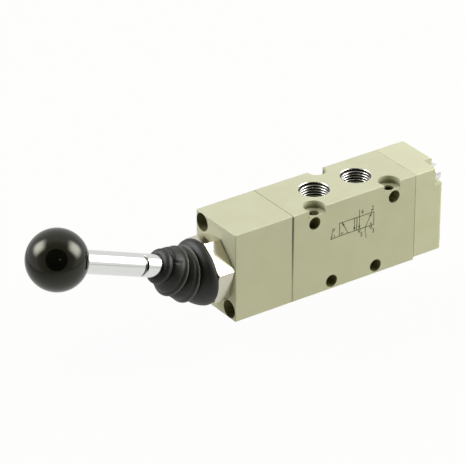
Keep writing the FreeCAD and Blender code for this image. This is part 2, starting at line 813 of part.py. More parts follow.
def make_detent():
    """Bush that guides the stem, with grooves for the spring ring and the stem seal."""
    guide = "stem_diameter / 2 + shaft_clearance"
    ring_floor = "stem_diameter / 2 + detent_wire + detent_depth"
    ring_half = "(detent_wire / 2 + shaft_clearance)"
    seal_half = "stem_seal_width / 2"
    bush = turned(
        "bush", [
            ("bush_front", guide),
            ("bush_front", "bush_diameter / 2"),
            ("block_rear", "bush_diameter / 2"),
            ("block_rear", "seal_bore / 2"),
            ("-stack_half", "seal_bore / 2"),
            ("-stack_half", "chamber_bore / 2"),
            ("-chamber_end", "chamber_bore / 2"),
            ("-chamber_end", guide),
            (f"stem_seal_place + {seal_half}", guide),
            (f"stem_seal_place + {seal_half}", "stem_seal_diameter / 2"),
            (f"stem_seal_place - {seal_half}", "stem_seal_diameter / 2"),
            (f"stem_seal_place - {seal_half}", guide),
            (f"detent_place + {ring_half}", guide),
            (f"detent_place + {ring_half}", ring_floor),
            (f"detent_place - {ring_half}", ring_floor),
            (f"detent_place - {ring_half}", guide),
        ],
        "0", "0", "axis_height",
    )
    node(bush, "detent_bush")
    ring = doc.addObject("Part::Torus", "ring")
    bind(
        ring, Radius1="stem_diameter / 2 - detent_depth + detent_wire / 2 + shaft_clearance / 2",
        Radius2="detent_wire / 2",
    )
    bind(ring, Angle3="360 - detent_gap")
    locate(ring, "detent_place", "0", "axis_height", ALONG["X"])
    node(ring, "detent_ring")
    seal = turned(
        "stem_seal_ring", [
            (f"-{seal_half}", "stem_seal_diameter / 2"),
            (seal_half, "stem_seal_diameter / 2"),
            (seal_half, f"{guide} + stem_seal_width / 4"),
            ("stem_seal_width / 5", guide),
            ("-stem_seal_width / 5", guide),
            (f"-{seal_half}", f"{guide} + stem_seal_width / 4"),
        ],
        "stem_seal_place", "0", "axis_height",
    )
    node(seal, "stem_seal")


def boot_ring(distance, radius):
    """One circle of the boot. Its centre leaves the bushing's axis evenly and reaches the lever's axis
    at the collar, and in between it leans more than the centre line does."""
    start = size("boot_foot") + size("lip_length")
    share = min(max((distance - start) / (size("collar_start") - start), 0.0), 1.0)
    swing = math.radians(size("rest_tilt")) * share
    lean = swing + math.radians(size("rest_tilt")) * size("ring_lean") * math.sin(math.pi * share)
    pivot = Vector(size("pivot_x"), 0, size("axis_height"))
    centre = pivot + Vector(-math.cos(swing), 0, math.sin(swing)) * distance
    return Part.Wire([Part.makeCircle(radius, centre, Vector(-math.cos(lean), 0, math.sin(lean)))])


def eased_rings(rings):
    """Add rings between each pair, the radius easing from one to the next like half a cosine wave."""
    eased = [rings[0]]
    for (place_a, radius_a), (place_b, radius_b) in zip(rings, rings[1:]):
        for step in range(1, BOOT_STEPS + 1):
            share = step / BOOT_STEPS
            blend = (1 - math.cos(math.pi * share)) / 2
            eased.append((place_a + share * (place_b - place_a), radius_a + blend * (radius_b - radius_a)))
    return eased


def make_boot():
    """Moulded bellows: ruled surfaces through its crests and valleys, less the same form one wall inside."""
    wall = size("boot_wall")
    foot = size("boot_foot")
    end = size("boot_length")
    foot_radius = size("boot_lip") + wall
    collar_radius = size("collar_bore") + size("collar_wall")

    def cone(place):
        return foot_radius + (collar_radius - foot_radius) * (place - foot) / (end - foot)

    bellows = []
    for fold in range(FOLD_COUNT):
        crest = size("first_fold") + fold * size("fold_pitch")
        valley = crest - size("valley_gap")
        if fold > 0:
            bellows.append((valley, cone(valley) - size("valley_depth")))
        bellows.append((crest, cone(crest) + size("fold_rise")))
    collar = [(size("collar_start"), collar_radius), (end, collar_radius)]
    lip = [(foot, size("boot_lip")), (foot + size("lip_length"), size("boot_lip"))]
    outer = [(foot, foot_radius), *bellows, *collar]
    inner = [*lip, *[(place, radius - wall) for place, radius in bellows]]
    inner += [(place, size("collar_bore")) for place, _ in collar]
    outside, inside = [
        Part.makeLoft([boot_ring(place, radius) for place, radius in eased_rings(rings)], True, True)
        for rings in (outer, inner)
    ]
    boot = doc.addObject("Part::Feature", "boot_moulding")
    boot.Shape = outside.cut(inside)
    node(boot, "boot")


def check_document():
    doc.recompute()
    for item in doc.Objects:
        if "Invalid" in item.State or "Error" in item.State:
            raise RuntimeError(f"{item.Name} failed: {item.State}")
    for item in NODES:
        if item.Shape.isNull() or not item.Shape.isValid() or not item.Shape.Solids:
            raise RuntimeError(f"{item.Label} has no sound shape")


def export_nodes():
    os.makedirs("parts", exist_ok=True)
    for item in NODES:
        item.Shape.exportStep(os.path.join("parts", item.Label + ".step"))
        print(item.Label, len(item.Shape.Solids), "solid(s), volume", round(item.Shape.Volume, 2))


fill_sheets()
make_valve_body()
make_actuator_block()
make_gasket("front_gasket", "block_rear", BLOCK_SCREWS)
make_gasket("rear_gasket", "body_rear", CAP_SCREWS)
make_end_cap()
make_screws("actuator_screws", BLOCK_SCREWS, "head_seat", "(block_tip - head_seat)", "X")
make_screws("end_cap_screws", CAP_SCREWS, "cap_seat", "(cap_seat - cap_tip)", "-X")
make_hex_bushing()
make_lever_rod()
make_knob()
make_driver()
make_spool()
make_seal_stack()
make_detent()
make_boot()
check_document()
export_nodes()
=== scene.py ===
# %% [markdown]
# # Hand lever air valve
# A small block valve for compressed air. A lever with a ball knob tilts in a hexagonal bushing, a rubber
# boot keeps dust out, and the coated block behind it has threaded ports above and below.
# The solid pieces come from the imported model, which is loaded first. This lesson gives them their
# finish, and adds what it leaves out: the beads and the crease of the boot, the threads in the ports
# and the flow diagram that is printed on the near side.

import json
import math

import bpy
import numpy as np
from mathutils import Matrix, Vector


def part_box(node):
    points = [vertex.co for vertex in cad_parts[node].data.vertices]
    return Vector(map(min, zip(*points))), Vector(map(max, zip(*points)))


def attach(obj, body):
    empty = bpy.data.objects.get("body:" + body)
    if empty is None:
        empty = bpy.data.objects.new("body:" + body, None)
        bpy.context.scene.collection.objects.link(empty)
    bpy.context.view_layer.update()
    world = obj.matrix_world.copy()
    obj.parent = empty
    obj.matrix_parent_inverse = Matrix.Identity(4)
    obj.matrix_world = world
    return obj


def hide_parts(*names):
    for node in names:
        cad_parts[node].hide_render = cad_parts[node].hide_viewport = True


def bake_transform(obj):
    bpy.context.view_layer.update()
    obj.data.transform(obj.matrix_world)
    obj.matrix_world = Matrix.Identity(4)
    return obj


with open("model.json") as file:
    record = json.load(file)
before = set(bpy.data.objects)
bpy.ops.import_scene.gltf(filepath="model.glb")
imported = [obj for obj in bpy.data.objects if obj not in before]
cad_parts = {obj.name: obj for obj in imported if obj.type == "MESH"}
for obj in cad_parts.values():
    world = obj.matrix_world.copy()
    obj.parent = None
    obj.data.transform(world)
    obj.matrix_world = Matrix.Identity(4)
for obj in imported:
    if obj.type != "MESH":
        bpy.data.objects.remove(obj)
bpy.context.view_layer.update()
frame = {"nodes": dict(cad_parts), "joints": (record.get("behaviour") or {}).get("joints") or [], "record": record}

# %% [markdown]
# ## Sizes
# Places are in metres, and a millimetre is one thousandth of that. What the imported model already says
# is read from it: the pivot and the lever's tilt from its hinge, the ports and the holes from its
# mounts, and the faces of the blocks from their boxes. The finish then follows the model, where copied
# numbers would have to be changed by hand.

# %% Sizes read from the model
MM = 0.001
hinge = next(joint for joint in frame["joints"] if joint["name"] == "lever_tilt")
PIVOT = np.array(hinge["pos_m"])
REST_TILT = math.radians(hinge["range_deg"][1]) / 2
LEVER_AXIS = np.array([-math.cos(REST_TILT), 0, math.sin(REST_TILT)])
mounts = {mount["name"]: mount for mount in frame["record"]["mounts"]}
ports = [mount for name, mount in mounts.items() if name.startswith("port_")]


def corners_of(node):
    """The lowest and the highest corner of a node's box, in metres."""
    return [np.array(corner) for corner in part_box(node)]


body_low, body_high = corners_of("valve_body")
nut_low = corners_of("hex_bushing")[0]
KNOB = sum(corners_of("ball_knob")) / 2
print("pivot", PIVOT, "tilt", round(math.degrees(REST_TILT), 2), "ports", len(ports))

# %% [markdown]
# ## Camera
# The picture looks down at the near side from the lever's end, through a long lens. The camera stands
# where a fit to known points of the valve put it, and looks at a point inside the block. Its roll is a
# fraction of a degree, so the uprights lean just as they do in the picture. A camera could be aimed
# with a constraint, but a matrix made from three directions also takes the roll, and lamps can use it.

# %% Aiming things
EYE = np.array([-0.53582, -0.71342, 0.50301])
AIM = np.array([-0.03882, -0.00012, 0.02481])
ROLL = math.radians(-0.015)
LENS = 251.55
SENSOR = 36.0
CLIP = (0.01, 20)


def direction(vector):
    """The vector divided by its length."""
    vector = np.asarray(vector, float)
    return vector / np.linalg.norm(vector)


def level_and_up(ahead):
    """The level direction square to a view, which is the view crossed with the vertical, and the one
    that points up, which is the level direction crossed with the view."""
    level = direction(np.cross(ahead, (0, 0, 1)))
    return level, np.cross(level, ahead)


def aimed(name, data, place, target, roll=0.0):
    """Add an object at a place, its own -Z towards the target and its X level but for the roll, which
    turns the level direction and the upward one about the view."""
    ahead = direction(np.asarray(target) - np.asarray(place))
    level, above = level_and_up(ahead)
    right = math.cos(roll) * level + math.sin(roll) * above
    up = math.cos(roll) * above - math.sin(roll) * level
    turn = np.eye(4)
    turn[:3] = np.column_stack([right, up, -ahead, place])
    made = bpy.data.objects.new(name, data)
    made.matrix_world = Matrix(turn.tolist())
    bpy.context.scene.collection.objects.link(made)
    return made


# %% Camera
lens = bpy.data.cameras.new("camera")
lens.lens = LENS
lens.sensor_width = SENSOR
lens.clip_start, lens.clip_end = CLIP
bpy.context.scene.camera = aimed("camera", lens, EYE, AIM, ROLL)
bpy.context.scene.view_settings.view_transform = "Standard"
print("camera is", round(float(np.linalg.norm(AIM - EYE)), 3), "m from the point it looks at")

# %% [markdown]
# ## Shader maths written as sums
# A mask such as "inside this radius" is easiest to read as an expression. The class below wraps one
# output socket and turns +, -, *, / and comparisons into Math nodes. Every other node comes from one
# method, which takes the node's type, its settings and what goes into its sockets.

# %% The socket class


def operator(operation, swapped=False):
    """A method for the class below: a Math node of the field and the other value, which are swapped
    where the other value stands on the left of the sign."""
    def method(field, other):
        return field.maths(operation, *((other, field) if swapped else (field, other)))

    return method


class Field:
    """One output of a shader node. Arithmetic on it adds a Math node and gives that node's output."""

    def __init__(self, home, socket):
        self.home = home
        self.socket = socket

    def maths(self, operation, *values):
        """A Math node of that operation on these values or fields."""
        return self.home.node("Math", {"operation": operation}, dict(enumerate(values)))

    def __abs__(self):
        return self.maths("ABSOLUTE", self)

    __add__ = __radd__ = operator("ADD")
    __mul__ = __rmul__ = operator("MULTIPLY")
    __sub__, __rsub__ = operator("SUBTRACT"), operator("SUBTRACT", swapped=True)
    __truediv__, __rtruediv__ = operator("DIVIDE"), operator("DIVIDE", swapped=True)
    __pow__, __lt__, __gt__ = operator("POWER"), operator("LESS_THAN"), operator("GREATER_THAN")


# %% The node tree and the finish


class Nodes:
    """The node tree of a material or of the world, and the helpers that fill it."""

    def __init__(self, owner):
        owner.use_nodes = True
        self.tree = owner.node_tree

    def node(self, kind, settings=(), sockets=(), output=0):
        """Add a node, set its properties or its ramp's stops, fill its sockets, and give one output."""
        made = self.tree.nodes.new("ShaderNode" + kind)
        settings = dict(settings)
        for place, colour in settings.pop("stops", ()):
            self.add_stop(made.color_ramp, place, colour)
        for name, value in settings.items():
            setattr(made, name, value)
        for key, value in dict(sockets).items():
            self.fill(self.find(made, key), value)
        return Field(self, made.outputs[output])

    def add_stop(self, ramp, place, colour):
        """The ramp starts with a stop at 0 and one at 1, which are used where they fit."""
        near = [stop for stop in ramp.elements if abs(stop.position - place) < 1e-6]
        stop = near[0] if near else ramp.elements.new(place)
        stop.color = (*colour, 1) if len(colour) == 3 else colour

    def find(self, made, key):
        """A socket by its number, its identifier or its name."""
        if isinstance(key, int):
            return made.inputs[key]
        named = [socket for socket in made.inputs if key in (socket.identifier, socket.name)]
        return named[0]

    def fill(self, socket, value):
        """Link a field to a socket, or set a plain value on it."""
        if isinstance(value, Field):
            self.tree.links.new(value.socket, socket)
        elif socket.type == "RGBA" and len(value) == 3:
            socket.default_value = (*value, 1)
        else:
            socket.default_value = value

    def place(self):
        """X, Y and Z on the object, as three fields in millimetres."""
        point = self.node("TexCoord", output="Object")
        parts = [self.node("SeparateXYZ", sockets={0: point}, output=axis) for axis in "XYZ"]
        return [part / MM for part in parts]

    def offsets(self, origin):
        """X, Y and Z in millimetres from a point that is given in metres."""
        return [part - float(at) / MM for part, at in zip(self.place(), origin)]

    def along(self, origin, axis):
        """Millimetres along an axis from a point: the sum of each offset times the axis's share."""
        x, y, z = [part * float(share) for part, share in zip(self.offsets(origin), axis)]
        return x + y + z

    def noise(self, per_mm, detail=3.0, roughness=0.6, turn=(0, 0, 0), scale=(1, 1, 1)):
        """Smooth noise from 0 to 1 with about that many grains in a millimetre. Its pattern may be
        turned, and then squeezed by axis."""
        place = self.node("Mapping", {"vector_type": "POINT"}, {
            "Vector": self.node("TexCoord", output="Object"),
            "Rotation": turn, "Scale": [part / MM for part in scale],
        })
        return self.node("TexNoise", sockets={
            "Vector": place, "Scale": per_mm, "Detail": detail, "Roughness": roughness,
        })

    def mix(self, share, first, second):
        """Two colours mixed by a share from 0 to 1."""
        return self.node("Mix", {"data_type": "RGBA"}, {
            "Factor_Float": share, "A_Color": first, "B_Color": second,
        }, output=2)


class Finish(Nodes):
    """A material: its Principled shader's plain numbers, and the fields that vary the rest."""

    def __init__(self, name, **numbers):
        self.material = bpy.data.materials.new(name)
        super().__init__(self.material)
        self.shader = self.tree.nodes["Principled BSDF"]
        for socket, number in numbers.items():
            self.feed(socket.replace("_", " "), number)

    def feed(self, name, value):
        """Link a field, or set a plain value, on one socket of the shader."""
        self.fill(self.shader.inputs[name], value)

    def colour(self, value):
        """What colour the surface is."""
        self.feed("Base Color", value)

    def rough(self, value):
        """How much the surface blurs what it mirrors."""
        self.feed("Roughness", value)

    def bump(self, height, millimetres, strength=1.0):
        """Raise the surface by a height field from 0 to 1, which is that many millimetres high."""
        self.feed("Normal", self.node("Bump", sockets={
            "Height": height, "Distance": millimetres * MM, "Strength": strength,
        }))


# %% Colours, and how a piece gets its finish


def rgb(red, green, blue):
    """A colour as it is seen on a screen, from 0 to 255, in the shader's own linear values: small
    values are divided, and the others are raised to the power that screens are made for."""
    parts = np.array([red, green, blue]) / 255
    return tuple(np.where(parts <= 0.04045, parts / 12.92, ((parts + 0.055) / 1.055) ** 2.4))


def scaled(colour, share):
    """A colour made darker or lighter, each part multiplied by the share."""
    return tuple(share * part for part in colour)


def dress(finish, *nodes):
    """Give CAD nodes a finish. Their shape and place stay as they are."""
    for name in nodes:
        slots = frame["nodes"][name].data.materials
        slots.clear()
        slots.append(finish.material)


print("shader maths is ready, and white is", rgb(255, 255, 255))

# %% [markdown]
# ## Coating
# The blocks wear a thin satin coating, between beige and olive, over machined aluminium. It has a fine
# grain that breaks up the reflections and a faint cloudiness. It is thinner and paler along the edges.
# The walls of the small holes are painted dark as shade, the pockets of the mounting screws get painted
# shade towards their floors, and a painted shadow line lies in the joint of the two blocks.
# The ports are cut after coating, so bare metal shows in their bores and on their mouths.
# These could be painted as pictures on the unfolded blocks. They are masks made from distances
# instead, to the faces that meet at an edge or to an axis, so they stay sharp at any size.

# %% Masks from distances
middle = (body_low + body_high) / 2 / MM
half = (body_high - body_low) / 2 / MM
block_front, cap_end = corners_of("actuator_block")[0][0] / MM, corners_of("end_cap")[1][0] / MM


def smooth_step(field, low, high):
    """0 below low and 1 above high, smooth in between. With low above high it falls instead."""
    return field.home.node("MapRange", {"interpolation_type": "SMOOTHSTEP"}, {
        "Value": field, "From Min": low, "From Max": high,
    })


def larger(*fields):
    """The largest of a field and other fields or numbers."""
    most = fields[0]
    for field in fields[1:]:
        most = most.maths("MAXIMUM", most, field)
    return most


def smaller(first, second):
    """The smaller of two fields."""
    return first.maths("MINIMUM", first, second)


def distance(*parts):
    """The root of the sum of the squares of two or three offsets."""
    squares = [part ** 2 for part in parts]
    return sum(squares[1:], squares[0]) ** 0.5


print("blocks run from x", round(block_front, 2), "to", round(cap_end, 2), "mm")

# %% Ports and holes
MOUTH_MARGIN = 0.16
HOLE_MARGIN = 0.04
HEAD_RADIUS = 2.75
BORE_RADIUS = 3.02
screw_high = corners_of("actuator_screws")[1] / MM


def hole_pair(name):
    """The middle of a pair of holes, half their spacing and their radius, in millimetres."""
    mount = mounts[name]
    return np.array(mount["pos_m"]) / MM, mount["dims"]["spacing_x_mm"] / 2, mount["dims"]["hole_r_mm"]


def port_mask(x, y, z):
    """1 inside the ports: near a port's axis, on the side of the block that the port opens to."""
    masks = []
    for port in ports:
        near = distance(x - port["pos_m"][0] / MM, y) < port["dims"]["r_mm"] + MOUTH_MARGIN
        masks.append(near * (z > middle[2] if port["axis"][2] > 0 else z < middle[2]))
    return larger(*masks)


def hole_shade_mask(x, y, z):
    """1 on the walls of the side holes, the holes down through the edge and the front screws' bores, which
    are painted dark as shade.
    The holes of a pair are mirror images, so the absolute value of x folds them onto one. The two
    screws stand at opposite corners, where y times the height above the middle is positive."""
    masks = []
    for name in ("upper_side_holes", "lower_side_holes"):
        at, reach, radius = hole_pair(name)
        masks.append(distance(abs(x) - reach, z - at[2]) < radius + HOLE_MARGIN)
    at, reach, radius = hole_pair("down_holes")
    masks.append(distance(abs(x) - reach, y - at[1]) < radius + HOLE_MARGIN)
    side, rise = screw_high[1] - HEAD_RADIUS, screw_high[2] - HEAD_RADIUS - middle[2]
    up = z - middle[2]
    bores = distance(abs(y) - side, abs(up) - rise) < BORE_RADIUS
    masks.append(bores * (y * up > 0) * (x < body_low[0] / MM))
    return larger(*masks)


print("down holes at", hole_pair("down_holes")[0], "mm")

# %% Pockets, joint and edges
TOP_FACE = body_high[2] / MM
POCKET_RADIUS, POCKET_MARGIN, POCKET_DEPTH = 3.5, 0.2, 2.5
NOTCH_RADIUS, NOTCH_MARGIN, NOTCH_INSET = 3.1, 0.1, 0.8
FLOOR_CLEARANCE = 0.03
# Painted shadow line in the joint: its width, how it grows with height, and how it fades at the top
JOINT_BLUR, JOINT_CORE = 0.6, 0.1
JOINT_LOW, JOINT_HIGH = 4, 26
JOINT_LEAST, JOINT_GAIN = 0.12, 0.72
TOP_FADE_FROM, TOP_FADE_TO, TOP_FADE_SHARE = 0.7, 0.1, 0.8
EDGE_WIDTH, EDGE_CORE = 0.45, 0.1


def pocket_shade_mask(x, y, z):
    """Painted shade on the walls of the head pockets and of the notch, from 0 at the top face to 1 at
    their floors.
    """
    at, reach, _ = hole_pair("down_holes")
    pocket = distance(abs(x) - reach, y - at[1]) < POCKET_RADIUS + POCKET_MARGIN
    notch = distance(x, y - (half[1] - NOTCH_INSET)) < NOTCH_RADIUS + NOTCH_MARGIN
    floor = TOP_FACE - POCKET_DEPTH
    return larger(pocket, notch) * (z > floor + FLOOR_CLEARANCE) * smooth_step(z, TOP_FACE, floor)


def joint_shade_mask(x, z):
    """How much painted shade lies in the joint of the two blocks, from 0 to 1. It fades over a fraction
    of a millimetre to either side, is weaker towards the foot, and fades out at the top face."""
    deepening = smooth_step(z, JOINT_LOW, JOINT_HIGH) * JOINT_GAIN + JOINT_LEAST
    top_fade = smooth_step(z, TOP_FACE - TOP_FADE_FROM, TOP_FACE - TOP_FADE_TO) * TOP_FADE_SHARE
    return smooth_step(abs(x - body_low[0] / MM), JOINT_BLUR, JOINT_CORE) * (deepening - top_fade)


def edge_mask(x, y, z):
    """1 where two outer faces meet: the middle one of the distances to the three faces is small."""
    to_side = half[1] - abs(y)
    to_top = half[2] - abs(z - middle[2])
    to_end = smaller(x - block_front, cap_end - x)
    second = larger(smaller(to_end, to_side), smaller(larger(to_end, to_side), to_top))
    return smooth_step(second, EDGE_WIDTH, EDGE_CORE)


print("top face at z", TOP_FACE, "mm")

# %% Coating of the blocks
COATING, COATING_PALE, COATING_SHADE = rgb(203, 203, 175), rgb(214, 213, 187), rgb(198, 197, 165)
# Painted shade: the hole walls, the pocket floors and the joint line are coloured dark as shade
HOLE_SHADE, POCKET_SHADE, JOINT_SHADE = rgb(132, 130, 92), rgb(92, 88, 52), rgb(44, 42, 18)
BARE_METAL = rgb(214, 212, 206)
MAIN_SHARE, EDGE_SHARE, POCKET_SHARE = 0.75, 0.5, 0.8
COATING_ROUGH, BARE_ROUGH, GRAIN_ROUGH = 0.44, 0.24, 0.12
GRAIN_HEIGHT = 0.012
CAP_TONE = 1.09


def coating(name="body_coating", tone=1.0):
    """The coating's cloudiness, its pale edges, the painted shade in its holes, pockets and joint, and the
    places where it is missing. The cap is a little paler in the picture, so its coating is a lighter tone."""
    finish = Finish(name, Specular_IOR_Level=0.42)
    grain = finish.noise(7.0, detail=2.0)
    cloud = finish.noise(0.11, roughness=0.55)
    place = finish.place()
    bare = port_mask(*place)
    main, pale, shade = [scaled(tint, tone) for tint in (COATING, COATING_PALE, COATING_SHADE)]
    paint = finish.mix(smooth_step(cloud, 0.3, 0.72), shade, pale)
    paint = finish.mix(MAIN_SHARE, paint, main)
    paint = finish.mix(edge_mask(*place) * EDGE_SHARE, paint, pale)
    # Painted shade: in the screw pockets and the notch, in the joint line, and on the hole walls
    paint = finish.mix(pocket_shade_mask(*place) * POCKET_SHARE, paint, POCKET_SHADE)
    paint = finish.mix(joint_shade_mask(place[0], place[2]), paint, JOINT_SHADE)
    paint = finish.mix(hole_shade_mask(*place), paint, HOLE_SHADE)
    finish.colour(finish.mix(bare, paint, BARE_METAL))
    finish.feed("Metallic", bare)
    finish.rough(bare * (BARE_ROUGH - COATING_ROUGH) + COATING_ROUGH + (grain - 0.5) * GRAIN_ROUGH)
    finish.bump(grain, GRAIN_HEIGHT, 0.5)
    return finish


dress(coating(), "valve_body", "actuator_block")
dress(coating("cap_coating", CAP_TONE), "end_cap")
print("coated blocks with", len(ports), "bare ports")

# %% [markdown]
# ## Metals
# The bushing is turned from brass and nickel plated, the rod is polished and chromed, the screws are
# zinc plated, and the pieces inside are plain steel, brass and aluminium. A turned surface has fine
# rings round its axis. They could be a wave texture, but its even spacing looks printed, so noise is
# squeezed along the axis and left wide around it. The rod leans with the lever, so its noise is turned
# to the lever's axis first. The narrow groove near the boot is painted dark as shade, in a band at its
# distance from the pivot.

# %% Metal finishes
LEAN = (0, -REST_TILT, 0)
RINGS = (9.0, 0.15, 0.15)
SMUDGE_SHARE = 0.94
GROOVE_PLACE = 25.3
GROOVE_EDGE, GROOVE_CORE = 0.46, 0.28
GROOVE_SHADE = rgb(84, 85, 78)


def turned_metal(name, colour, roughness, depth, lean=(0, 0, 0), spread=0.06, groove=None):
    """Metal with lathe rings round the X axis, or round the lever's axis where it leans. A groove is
    given by its distance from the pivot along the lever, and painted dark there as shade."""
    finish = Finish(name, Metallic=1.0)
    rings = finish.noise(1.0, turn=lean, scale=RINGS)
    smudge = finish.noise(0.35)
    tint = finish.mix(smudge, scaled(colour, SMUDGE_SHARE), colour)
    if groove:
        # Painted shade in the rod's groove
        away = abs(finish.along(PIVOT, LEVER_AXIS) - groove)
        tint = finish.mix(smooth_step(away, GROOVE_EDGE, GROOVE_CORE), tint, GROOVE_SHADE)
    finish.colour(tint)
    finish.rough(smudge * spread + (roughness - spread / 2))
    finish.bump(rings, depth, 0.6)
    return finish


# Each metal: its colour, its roughness, how deep its rings are, and the nodes made of it
metals = {
    "nickel": (rgb(211, 206, 187), 0.24, 0.001, ["hex_bushing"]),
    "zinc_steel": (rgb(244, 244, 242), 0.24, 0.002, ["actuator_screws", "end_cap_screws"]),
    "steel": (rgb(196, 195, 192), 0.28, 0.002, ["pivot_pin", "spool_driver", "detent_ring"]),
    "brass": (rgb(222, 196, 128), 0.26, 0.002, ["knob_insert", "detent_bush"]),
    "spool_aluminium": (rgb(212, 212, 214), 0.3, 0.002, ["spool"]),
}
for name, (colour, roughness, depth, nodes) in metals.items():
    dress(turned_metal(name, colour, roughness, depth), *nodes)
rod_chrome = turned_metal("rod_chrome", rgb(232, 234, 230), 0.1, 0.0002, LEAN, 0.02, GROOVE_PLACE)
dress(rod_chrome, "lever_rod")
print("metal finishes", len(metals) + 1)

# %% [markdown]
# ## Knob, seals and gaskets
# The knob is a hard black moulding with a deep polish: almost no colour of its own, so all that is
# seen is what it mirrors. It could be left perfectly smooth, but then those mirrored edges look drawn
# with compasses, so it has a wide, very shallow waviness. Rubber and acetal are the opposite, matt and
# slightly uneven. Of the two flat gaskets only the rims show. The front one is black, but at its foot
# and right at the top it is painted as pale as the blocks, so that the painted shadow line of the joint
# fades there. The rear one is painted pale all over, as painted light over the shade in its recess.

# %% Plastic and rubber finishes
GASKET_FADE = 27
RIM_FROM, RIM_TO, RIM_SHARE = 0.9, 0.2, 0.65
MOULDING_SHADE = 0.8


def plain_moulding(name, colour, roughness, grain_per_mm, depth, faded=None):
    """Matt moulded or cut material with a fine grain. It may be painted a paler colour towards its foot
    and at its top rim, as painted light where a joint's painted shadow line fades."""
    finish = Finish(name, Specular_IOR_Level=0.4)
    grain = finish.noise(grain_per_mm)
    tint = finish.mix(grain, scaled(colour, MOULDING_SHADE), colour)
    if faded:
        height = finish.place()[2]
        rim = smooth_step(height, TOP_FACE - RIM_FROM, TOP_FACE - RIM_TO) * RIM_SHARE
        tint = finish.mix(larger(smooth_step(height, GASKET_FADE, 0), rim), tint, faded)
    finish.colour(tint)
    finish.rough(grain * 0.16 + (roughness - 0.08))
    finish.bump(grain, depth, 0.6)
    return finish


def knob_gloss():
    """Polished black moulding: its mirrored light is tinted a little towards olive."""
    finish = Finish("knob", Specular_IOR_Level=0.44, Specular_Tint=(1.0, 1.0, 0.82, 1.0))
    wave = finish.noise(0.09, detail=1.0, roughness=0.5)
    dust = finish.noise(1.3, detail=4.0, roughness=0.7)
    finish.colour(finish.mix(dust, rgb(14, 14, 11), rgb(20, 20, 15)))
    finish.rough(smooth_step(dust, 0.45, 0.8) * 0.05 + 0.06)
    finish.bump(wave, 0.02, 0.5)
    return finish


dress(knob_gloss(), "ball_knob")
# Painted light: the front gasket's pale foot and rim, and the rear gasket's pale colour all over
dress(plain_moulding("gasket", rgb(30, 30, 24), 0.75, 4.0, 0.01, rgb(176, 174, 146)), "front_gasket")
dress(plain_moulding("pale_gasket", rgb(244, 243, 222), 0.75, 4.0, 0.01), "rear_gasket")
seals = [name for name in frame["nodes"] if name.startswith("spool_seal")]
spacers = [name for name in frame["nodes"] if name.startswith("spool_spacer")]
dress(plain_moulding("seal_rubber", rgb(38, 38, 38), 0.6, 5.0, 0.006), *seals, "stem_seal", "end_bumper")
dress(plain_moulding("spacer", rgb(232, 228, 214), 0.45, 5.0, 0.004), *spacers)
print("seals", len(seals), "spacers", len(spacers))

# %% [markdown]
# ## Making meshes from arrays
# The boot and the threads could be modelled with modifiers, but a formula says in one place why each
# point is where it is. So each is a grid of points: rows along its profile, columns around it. A grid
# that closes both ways is a ring-shaped skin with no edge, so it is a solid piece.

# %% Mesh helpers


def grid_quads(rows, columns):
    """Corner numbers of the quads of a grid of points, which closes on itself both ways: each point
    with the next one down, the next one across, and the one that is both."""
    row, column = np.meshgrid(np.arange(rows), np.arange(columns), indexing="ij")
    next_row, next_column = (row + 1) % rows, (column + 1) % columns
    corners = [row * columns + column, next_row * columns + column,
               next_row * columns + next_column, row * columns + next_column]
    return np.stack([corner.ravel() for corner in corners], axis=1)


def add_piece(name, points, faces, finish, body=None, smooth=True):
    """A mesh object from a list of points in metres and a list of faces, riding on a body."""
    mesh = bpy.data.meshes.new(name)
    faces = [list(map(int, face)) for face in faces]
    mesh.from_pydata(np.asarray(points).reshape(-1, 3).tolist(), [], faces)
    mesh.materials.append(finish.material)
    mesh.shade_smooth() if smooth else mesh.shade_flat()
    mesh.update()
    piece = bpy.data.objects.new(name, mesh)
    bpy.context.scene.collection.objects.link(piece)
    if body:
        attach(piece, body)
    print(name, len(mesh.vertices), "points,", len(mesh.polygons), "faces")
    return piece


def give(piece, name, values):
    """Store one number for each point of a piece, which its finish can read by name."""
    attribute = piece.data.attributes.new(name, "FLOAT", "POINT")
    attribute.data.foreach_set("value", values.astype(np.float32))


def given(finish, name):
    """The stored number as a field of a finish."""
    return finish.node("Attribute", {"attribute_name": name}, output=2)


print("a grid of 3 by 4 points has", len(grid_quads(3, 4)), "quads")

# %% [markdown]
# ## Boot
# The boot is a moulded bellows with three folds. It grips the bushing's lip at one end and the rod at
# the other, and because the lever rests at the top of its travel, the whole boot bends. It could be a
# straight bellows bent by a modifier, but then the rings would stay square to the bend, and on the
# real one they lean further over than its centre line does. So each ring is placed by itself: the
# profile gives its radius, and the distance from the pivot gives its centre and its lean.
# The two outer folds carry a thin bead on the crest with a groove beside it. All lengths of the
# profile are millimetres, and its places are distances from the pivot.

# %% Where the boot's folds lie
LIP_LENGTH, LIP_RADIUS, LIP_STEP = 1.8, 8.35, 0.4
BOOT_FOOT = (PIVOT[0] - nut_low[0]) / MM - LIP_LENGTH
FLOOR_NEAR, FLOOR_FAR = (7.4, 7.3), (17.5, 4.8)
# Each fold: its start, crest and end, its height, how square its far shoulder is, and its bead
FOLDS = (
    (0.9, 3.6, 7.4, 2.3, 0.7, 0.0),
    (7.4, 8.7, 11.8, 1.6, 0.6, 0.3),
    (11.8, 13.2, 17.0, 1.65, 0.5, 0.34),
)
NEAR_ROUNDNESS = 0.65
BEAD_WIDTH = 0.42
BEAD_GROOVE, GROOVE_SHARE = 0.95, 0.5
FOLD_SAMPLES = 56
WEAR_AND_LIGHT_START, WEAR_AND_LIGHT_SPAN = 0.1, 0.65


def valley_floor(place):
    """Radius of the cone that the valleys lie on, at a distance from the pivot: a straight line
    through its two known places."""
    slope = (FLOOR_FAR[1] - FLOOR_NEAR[1]) / (FLOOR_FAR[0] - FLOOR_NEAR[0])
    return FLOOR_NEAR[1] + slope * (place - FLOOR_NEAR[0])


def bell(offset, width):
    """A bell curve: e to the power of minus the square of the offset over the width."""
    return np.exp(-(offset / width) ** 2)


